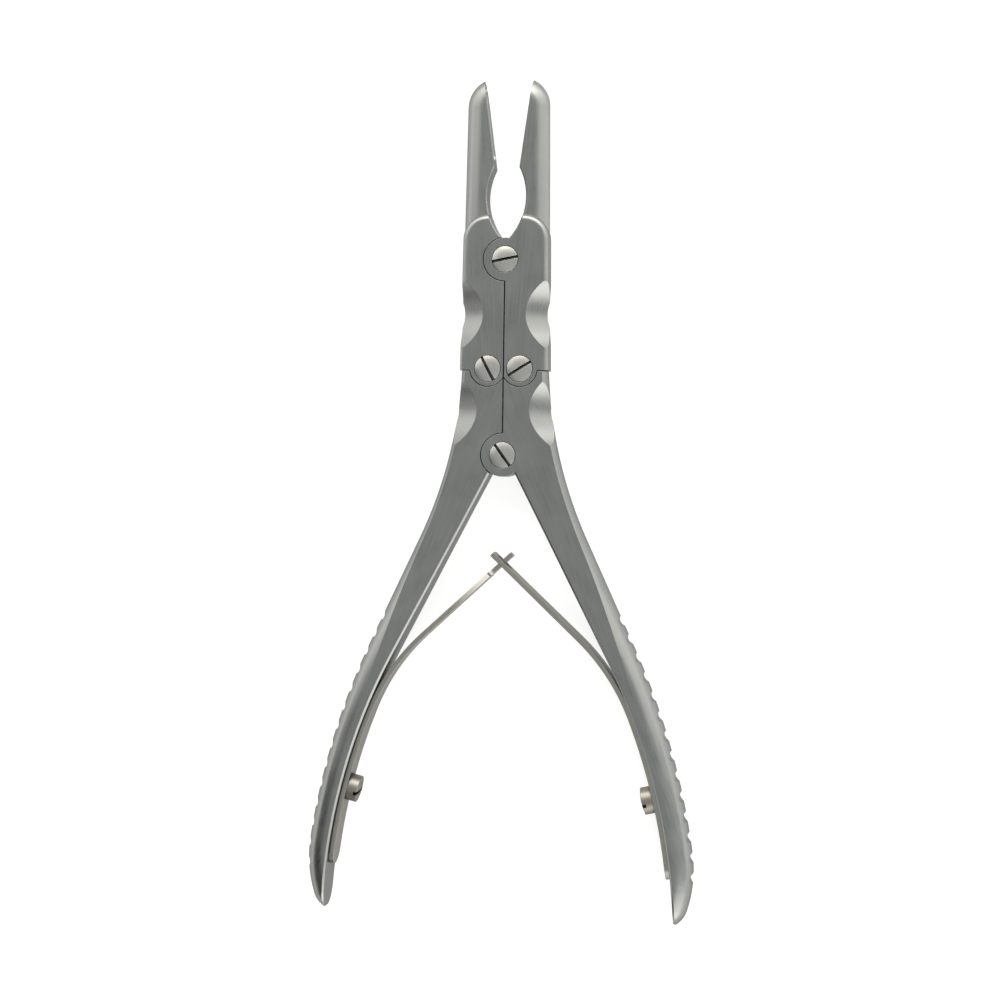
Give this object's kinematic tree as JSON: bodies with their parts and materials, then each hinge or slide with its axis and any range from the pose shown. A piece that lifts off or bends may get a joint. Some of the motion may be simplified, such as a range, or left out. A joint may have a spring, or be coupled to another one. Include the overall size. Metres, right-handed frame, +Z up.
{
  "type": "bone rongeur",
  "caption": "Double-action bone rongeur: cupped straight jaws on a lapped linkage, grooved grips and crossing leaf springs that hold it open.",
  "frame": {"origin": "on the plane the grips lie on, under the middle of the overall length and width", "axes": "+Y towards the jaw tips, +Z up along the pivot screws out of their slotted heads, +X towards the right handle"},
  "size_m": [0.0836, 0.1794, 0.0092],
  "materials": {
    "satin_steel": "satin, fine-brushed stainless steel",
    "polished_steel": "polished stainless steel",
    "spring_steel": "satin spring steel"
  },
  "bodies": {
    "handle_right": {"handle_right": "satin_steel", "link_screw_right": "polished_steel", "leaf_spring_right": "spring_steel", "spring_screw_right": "polished_steel"},
    "handle_left": {"handle_left": "satin_steel", "link_screw_left": "polished_steel", "handle_pivot_screw": "polished_steel", "leaf_spring_left": "spring_steel", "spring_screw_left": "polished_steel"},
    "jaw_right": {"jaw_right": "satin_steel"},
    "jaw_left": {"jaw_left": "satin_steel", "jaw_pivot_screw": "polished_steel"}
  },
  "joints": [
    {"name": "handle_squeeze", "type": "hinge", "parent": "handle_right", "child": "handle_left", "pos_m": [0, 0.00925, 0.0046], "axis": [0, 0, 1], "range_deg": [0, 19.61], "stiffness_Nm_per_rad": 2, "springref_deg": -5.73, "deforming": ["leaf_spring_right", "leaf_spring_left"]},
    {"name": "jaw_close_right", "type": "hinge", "parent": "handle_right", "child": "jaw_right", "pos_m": [0.00345, 0.0277, 0.0046], "axis": [0, 0, 1], "range_deg": [0, 17.52]},
    {"name": "jaw_close_left", "type": "hinge", "parent": "handle_left", "child": "jaw_left", "pos_m": [-0.00345, 0.0277, 0.0046], "axis": [0, 0, -1], "range_deg": [0, 17.52]}
  ],
  "couplings": [
    {"joint": "jaw_close_right", "follows": "handle_squeeze", "ratio": 0.89276},
    {"joint": "jaw_close_left", "follows": "handle_squeeze", "ratio": 0.89276}
  ]
}
